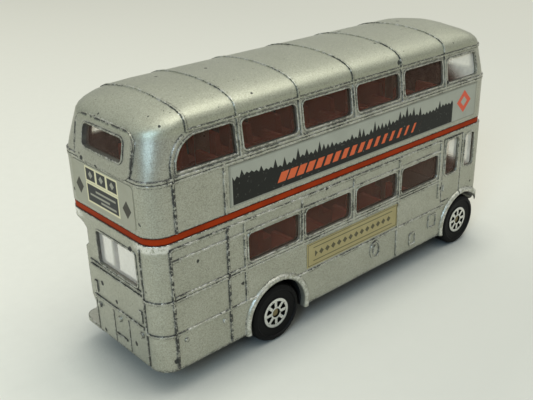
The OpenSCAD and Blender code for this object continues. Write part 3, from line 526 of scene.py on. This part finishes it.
def red_moulding():
    """Red plastic: orange-red along the outer edge with dark lines at its rims, grime and painted shade in
    the gaps beside the castings, and duller red on the seats.
    """
    look = material_graph("red_plastic")
    fine = look.noise(3.0, 3.0, 0.6)
    wide = look.noise(0.15, 2.0, 0.5)
    inner = look.step(HALF_W - 2.0, HALF_W - 2.4, look.size(look.y))
    inner = inner * look.span(look.x, REAR_X + 2.0, REAR_X + 2.4, FRONT_X - 2.4, FRONT_X - 2.0)
    low_rim = look.step(BAND_Z + 0.7, BAND_Z + 0.35, look.z + 0.4 * fine)
    high_rim = look.step(DECK_Z - 0.7, DECK_Z - 0.35, look.z - 0.4 * fine)
    lines = look.clamp(low_rim + high_rim) * (1.0 - inner)
    base = look.mix(look.step(0.35, 0.65, wide), srgb(152, 50, 16), srgb(138, 45, 14))
    base = look.mix(inner, base, srgb(176, 80, 60))
    # Dark lines at the band's rims: grime and painted shade in the gaps beside the castings
    base = look.mix(lines * 0.9, base, srgb(46, 24, 18))
    base = look.times(base, 0.88 + 0.24 * fine)
    return look.surface(look.principled(
        Base_Color=base, Roughness=0.42 + 0.2 * fine, Specular_IOR_Level=0.04,
        Normal=look.bump(fine, 0.2, 0.04, look.rounded(0.2))))


def painted_daylight_panes(look, low_deck):
    """Painted light: a pale haze on the front side panes and lower rear window, standing in for daylight seen
    through them.
    """
    rear = low_deck * look.step(REAR_X + 4.0, REAR_X + 2.6, look.x)
    # It is thickest towards the upper front corners of the front panes
    ahead = look.x - PANE_X
    up = look.step(DECK_Z, DECK_Z + 1.0, look.z) * look.step(*UP_DAYLIGHT, ahead + 1.2 * (look.z - PANE_Z))
    up = up * look.span(look.x, UP_PANE_X - 0.3, UP_PANE_X + 0.3, PANE_END_X, PANE_END_X + 0.5)
    low = low_deck * look.step(*LOW_DAYLIGHT_Z, look.z + 0.6 * ahead)
    low = low * look.span(look.x, LOW_PANE_X - 0.3, LOW_PANE_X + 0.3, PANE_END_X, PANE_END_X + 0.5)
    return look.clamp(0.75 * rear + up + low)


def clear_plastic():
    """Clear window moulding: it lets light straight through, shines when seen aslant and is a little hazy;
    some panes carry painted daylight.
    """
    look = material_graph("clear_plastic")
    haze = look.noise(0.35, 3.0, 0.6)
    smear = look.noise(1.4, 2.0, 0.5, stretch=(0.3, 1.0, 1.0))
    low_deck = look.step(BAND_Z, BAND_Z - 1.0, look.z)
    painted_daylight = painted_daylight_panes(look, low_deck)
    shine = look.shader("Fresnel", IOR=1.45) * 0.9
    # Real haze, plus painted daylight on the front side panes and lower rear window
    haze_and_daylight = 0.05 + 0.03 * low_deck + 0.07 * haze + painted_daylight * (0.26 + 0.3 * haze)
    share = look.clamp((shine + haze_and_daylight) * (1.0 - look.geometry("Backfacing")))
    through = look.shader("BsdfTransparent", Color=(0.95, 0.945, 0.93, 1.0))
    skin = look.principled(Base_Color=look.mix(painted_daylight, srgb(150, 116, 98), srgb(226, 224, 212)),
                           Roughness=0.08 + 0.16 * smear)
    return look.surface(look.mix_shaders(share, through, skin))


def black_base():
    """Black baseplate plastic with dust on it."""
    look = material_graph("black_base_plastic")
    fine = look.noise(2.5, 3.0, 0.6)
    dust = look.step(0.5, 0.75, look.noise(0.3, 3.0, 0.6))
    base = look.mix(dust * 0.3, srgb(18, 18, 18), srgb(64, 62, 58))
    return look.surface(look.principled(
        Base_Color=base, Roughness=0.45 + 0.25 * fine, Normal=look.bump(fine, 0.25, 0.05)))


def steel_wire():
    """Drawn steel wire, gone a little brassy."""
    look = material_graph("axle_wire")
    lines = look.noise(1.0, 3.0, 0.6, stretch=(6.0, 0.6, 6.0))
    base = look.mix(look.noise(0.8, 3.0, 0.6), srgb(150, 136, 96), srgb(112, 104, 82))
    return look.surface(look.principled(
        Base_Color=base, Metallic=0.85, Roughness=0.3 + 0.25 * lines, Normal=look.bump(lines, 0.2, 0.03)))


def wheel_plastic(name, axle_x):
    """Black wheel with bright foil on the raised hub pattern."""
    look = material_graph(name)
    radius = look.length(look.x - axle_x, look.z - AXLE_Z)
    facing = look.step(0.75, 0.9, look.sideways())
    wear = look.noise(2.2, 3.0, 0.6)
    fine = look.noise(5.0, 2.0, 0.6)
    proud = look.step(FOIL_Y - 0.05, FOIL_Y + 0.05, look.size(look.y))
    ring = look.step(FOIL_INNER_R - 0.04, FOIL_INNER_R + 0.04, radius)
    ring = ring * look.step(FOIL_OUTER_R + 0.05, FOIL_OUTER_R - 0.05, radius)
    foil = proud * ring * facing * look.step(0.66, 0.6, wear)
    dust = look.step(0.52, 0.72, look.noise(0.9, 3.0, 0.65)) * 0.25
    scuff = look.step(*SCUFFS_R, radius) * look.step(0.5, 0.66, look.noise(1.6, 4.0, 0.65)) * 0.5
    base = look.mix(look.clamp(dust + scuff), srgb(5, 5, 5), srgb(26, 25, 24))
    base = look.mix(foil, base, srgb(214, 214, 208))
    rings = look.math("SINE", radius * 9.0) * look.step(*RINGS_R, radius) * facing
    return look.surface(look.principled(
        Base_Color=base, Metallic=foil * 0.9, Roughness=look.blend(foil, 0.45 + 0.2 * fine, 0.28),
        Specular_IOR_Level=0.14, Normal=look.bump(fine * 0.5 + rings * 0.25, 0.25, 0.05, look.rounded(0.15))))


def film(look, base, wear=1.0):
    """A printed film: the colour gets scuffs, small dark nicks and a fine mottle."""
    fine = look.noise(4.5, 2.0, 0.6)
    scuff = look.step(0.62, 0.72, look.noise(1.3, 4.0, 0.62)) * 0.35 * wear
    nicks = look.above(look.noise(2.0, 3.0, 0.6), 0.735, 0.02)
    base = look.mix(scuff, base, srgb(150, 148, 138))
    base = look.mix(nicks * 0.7, base, srgb(60, 58, 50))
    base = look.times(base, 0.9 + 0.2 * fine)
    return look.surface(look.principled(
        Base_Color=base, Specular_IOR_Level=0.3, Roughness=0.45 + 0.15 * fine,
        Normal=look.bump(fine, 0.2, 0.04)))


def banner(side):
    """Side label: dark hills and firs on grey, slanted stripes that taper along it, and a diamond."""
    look = material_graph("banner_" + side)
    along = look.x if side == "offside" else BANNER_MIRROR - look.x
    up = look.z
    ground = look.mix(look.noise(0.2, 2.0, 0.5), srgb(147, 148, 134), srgb(163, 164, 150))
    number, part = look.repeat(along, FIR_WIDTH)
    tall = look.random(number)
    fir = 1.0 - 2.0 * look.size(part - 0.5)
    hill = look.noise(0.07, 1.0, 0.4, stretch=(1.0, 0.0, 0.0))
    top = HILL_Z + HILL_RISE * hill + fir * (FIR_LEAST + FIR_MORE * tall * tall)
    dark = look.step(0.05, -0.05, up - top) * look.box(along, up, HILLS)
    slant = along - STRIPE_SLANT * (up - STRIPE_Z)
    _, part = look.repeat(slant, STRIPE_PITCH)
    width = 0.86 - 0.011 * (slant - TAPER_START)
    stripes = look.step(0.02, -0.02, part - width) * look.box(slant, up, STRIPES)
    spot = look.size(along - DIAMOND_X) + look.size(up - DIAMOND_Z)
    base = look.mix(dark, ground, srgb(18, 19, 14))
    base = look.mix(stripes, base, srgb(204, 92, 48))
    base = look.mix(look.span(spot, *DIAMOND_RING), base, srgb(206, 84, 56))
    rim = 1.0 - look.box(along, up, BANNER_GROUND, 0.1)
    base = look.mix(rim * 0.35, base, srgb(90, 88, 78))
    return film(look, base)


def plaque(side):
    """Gold-toned label with a thin border, rules and a row of lozenges."""
    look = material_graph("plaque_" + side)
    along, up = look.x, look.z
    gold = look.mix(look.noise(0.25, 3.0, 0.5), srgb(146, 134, 90), srgb(164, 152, 108))
    border = look.box(along, up, BORDER_OUTER, 0.05) - look.box(along, up, BORDER_INNER, 0.05)
    rules = sum(look.box(along, up, rule, 0.05) for rule in RULES)
    _, part = look.repeat(along, LOZENGE_PITCH)
    spot = look.size(part - 0.5) * LOZENGE_PITCH + look.size(up - LOZENGE_Z)
    row = look.step(LOZENGE_R + 0.05, LOZENGE_R - 0.05, spot) * look.box(along, up, LOZENGES, 0.05)
    base = look.mix(look.clamp(border + rules + row) * 0.85, gold, srgb(52, 48, 34))
    return film(look, base, 0.7)


def end_label(end):
    """End label: dark panels with cream borders, pale bars and diamonds, and a dark mark at each side."""
    look = material_graph(end + "_label_film")
    along = look.y if end == "rear" else look.y * -1.0
    up = look.z
    pale = srgb(170, 165, 145)
    base = look.mix(look.noise(0.25, 3.0, 0.5), srgb(150, 145, 124), srgb(164, 160, 140))
    for panel in PANELS:
        left, foot, right, head = panel
        border = (left - PANEL_BORDER, foot - PANEL_BORDER, right + PANEL_BORDER, head + PANEL_BORDER)
        base = look.mix(look.box(along, up, border, 0.08), base, srgb(214, 204, 164))
        base = look.mix(look.box(along, up, panel, 0.08), base, srgb(46, 46, 44))
    for left, foot, right in BARS:
        bar = look.box(along, up, (left, foot, right, foot + BAR_HEIGHT), 0.08)
        base = look.mix(bar * 0.75, base, pale)
    for place in PANEL_DIAMONDS:
        spot = look.size(along - place) + look.size(up - PANEL_DIAMOND_Z)
        diamond = look.step(PANEL_DIAMOND_R + 0.05, PANEL_DIAMOND_R - 0.05, spot)
        base = look.mix(diamond * 0.75, base, pale)
    spot = look.size(look.size(along) - MARK_Y) + look.size(up - MARK_Z) * 0.8
    base = look.mix(look.step(MARK_R + 0.05, MARK_R - 0.05, spot), base, srgb(60, 56, 46))
    return film(look, base, 0.8)


def smoothing():
    """A node group that shades curved faces smooth and keeps the folds sharp."""
    group = bpy.data.node_groups.new("smooth_by_angle", "GeometryNodeTree")
    for direction in ("INPUT", "OUTPUT"):
        group.interface.new_socket("Geometry", in_out=direction, socket_type="NodeSocketGeometry")
    start = group.nodes.new("NodeGroupInput")
    end = group.nodes.new("NodeGroupOutput")
    faces = group.nodes.new("GeometryNodeSetShadeSmooth")
    faces.domain = "FACE"
    edges = group.nodes.new("GeometryNodeSetShadeSmooth")
    edges.domain = "EDGE"
    turn = group.nodes.new("GeometryNodeInputMeshEdgeAngle")
    small = group.nodes.new("FunctionNodeCompare")
    small.data_type = "FLOAT"
    small.operation = "LESS_THAN"
    small.inputs[1].default_value = math.radians(FOLD_DEGREES)
    group.links.new(start.outputs[0], faces.inputs[0])
    group.links.new(faces.outputs[0], edges.inputs[0])
    group.links.new(turn.outputs["Unsigned Angle"], small.inputs[0])
    group.links.new(small.outputs[0], edges.inputs["Shade Smooth"])
    group.links.new(edges.outputs[0], end.inputs[0])
    return group


def smooth(obj, group):
    """Smooths an object with modifiers only."""
    weld = obj.modifiers.new("weld", "WELD")
    weld.merge_threshold = WELD
    soft = obj.modifiers.new("smooth", "NODES")
    soft.node_group = group


def dress(names, *materials):
    """Gives each of these nodes the materials, in slot order."""
    for name in names:
        slots = nodes[name].data.materials
        slots.clear()
        for material in materials:
            slots.append(material)


def inside_faces(name):
    """Puts the second material on the faces that look into the casting."""
    for face in nodes[name].data.polygons:
        place = face.center * MM
        facing = face.normal
        out = abs(place.y)
        towards_middle = -facing.y if place.y > 0 else facing.y
        side = towards_middle > 0.5 and out < HALF_W - 1.0
        rear = facing.x > 0.5 and REAR_X + 1.0 < place.x < REAR_X + 4.5
        front = facing.x < -0.5 and FRONT_X - 4.5 < place.x < FRONT_X - 1.0
        ceiling = facing.z < -0.3 and place.z > GUTTER_Z - 1.0 and out < HALF_W - 1.5
        face.material_index = 1 if side or rear or front or ceiling else 0


def make_floor():
    """A pale sheet with painted shade, a little darker ahead of the bus and on its offside, and a painted
    shadow close to the bus; it fades into the backdrop.
    """
    data = bpy.data.meshes.new("floor")
    corners = [(FLOOR_HALF * across, FLOOR_HALF * along, 0)
               for across, along in ((-1, -1), (1, -1), (1, 1), (-1, 1))]
    data.from_pydata(corners, [], [(0, 1, 2, 3)])
    obj = bpy.data.objects.new("floor", data)
    bpy.context.scene.collection.objects.link(obj)
    look = material_graph("pale_paper")
    base = look.mix(look.noise(0.25, 3.0, 0.55), srgb(215, 213, 200), srgb(221, 219, 206))
    # Painted shade: the sheet is darker ahead of the bus and on its offside
    painted_floor_shade = look.clamp(look.step(*FLOOR_SHADE_X, look.x) + 1.1 * look.step(*FLOOR_SHADE_Y, look.y))
    base = look.mix(painted_floor_shade, base, srgb(198, 197, 186))
    # Painted shadow: the sheet darkens to blue-grey close to the bus
    base = look.mix(look.hollow(SHADOW_REACH, only_local=False) * 0.9, base, srgb(76, 84, 88))
    paper = look.principled(Base_Color=base, Roughness=0.9, Specular_IOR_Level=0.0)
    backdrop = look.shader("Emission", Color=SKY, Strength=BACKDROP)
    away = look.step(*FADE, look.length(look.x, look.y))
    data.materials.append(look.surface(look.mix_shaders(away, paper, backdrop)))


def area_light(name, place, target, size, power, colour):
    """A rectangular lamp that looks at its target, in metres and watts."""
    data = bpy.data.lights.new(name, "AREA")
    data.shape = "RECTANGLE"
    data.size, data.size_y = size
    data.energy = power
    data.color = colour
    obj = bpy.data.objects.new(name, data)
    obj.location = place
    obj.rotation_mode = "QUATERNION"
    obj.rotation_quaternion = (Vector(target) - Vector(place)).to_track_quat("-Z", "Y")
    bpy.context.scene.collection.objects.link(obj)


def make_world():
    """Soft light from all round, dimmer low down and towards the rear, and even at the horizon."""
    world = Graph(bpy.data.worlds.new("studio"), "OutputWorld", "Generated", 1.0)
    rise = 0.22 + 0.7 * world.step(0.0, 0.7, world.z)
    rearward = -0.9 * world.x - 0.44 * world.y
    level = rise * (1.0 - 0.6 * world.step(0.35, 0.95, rearward))
    strength = world.blend(world.step(0.15, 0.06, world.z), level, BACKDROP)
    bpy.context.scene.world = world.surface(world.shader("Background", Color=SKY, Strength=strength))


def make_camera():
    """The photograph's camera, turned about its own axis by the roll."""
    flat = math.cos(ELEVATION)
    back = Vector((math.sin(AZIMUTH) * flat, -math.cos(AZIMUTH) * flat, math.sin(ELEVATION)))
    level = (-back).cross(Vector((0, 0, 1))).normalized()
    upright = level.cross(-back)
    right = math.cos(ROLL) * level + math.sin(ROLL) * upright
    up = math.cos(ROLL) * upright - math.sin(ROLL) * level
    data = bpy.data.cameras.new("camera")
    data.sensor_width = SENSOR
    data.lens = FOCAL_PIXELS / PHOTO_WIDTH * SENSOR
    data.clip_start, data.clip_end = CLIP
    camera = bpy.data.objects.new("camera", data)
    turn = Matrix((right, up, back)).transposed().to_4x4()
    camera.matrix_world = Matrix.Translation(CAMERA_PLACE) @ turn
    bpy.context.scene.collection.objects.link(camera)
    bpy.context.scene.camera = camera


castings = ("upper_body", "lower_body")
dress(castings, cast_paint(), cast_inside())
for name in castings:
    inside_faces(name)
dress(("upper_deck", "lower_deck"), red_moulding())
dress(("upper_glazing", "lower_glazing", "cab_glazing"), clear_plastic())
dress(("baseplate",), black_base())
dress(("front_axle", "rear_axle"), steel_wire())
for end, axle_x in (("front", FRONT_AXLE_X), ("rear", REAR_AXLE_X)):
    dress((end + "_offside_wheel", end + "_nearside_wheel"), wheel_plastic(end + "_wheel_plastic", axle_x))
for side in ("offside", "nearside"):
    dress((side + "_banner",), banner(side))
    dress((side + "_plaque",), plaque(side))
for end in ("rear", "front"):
    dress((end + "_panel_label",), end_label(end))
smoothing_group = smoothing()
for obj in nodes.values():
    smooth(obj, smoothing_group)

make_floor()
area_light("key", place=(0.36, -0.12, 1.12), target=(0, 0, 0.03),
           size=(0.9, 0.9), power=6.2, colour=(1.0, 0.99, 0.96))
area_light("window", place=(-0.76, -0.42, 0.54), target=(-0.055, -0.015, 0.06),
           size=(0.28, 0.34), power=4.2, colour=(0.54, 0.77, 1.0))
make_world()
make_camera()
bpy.context.scene.view_settings.view_transform = "Standard"
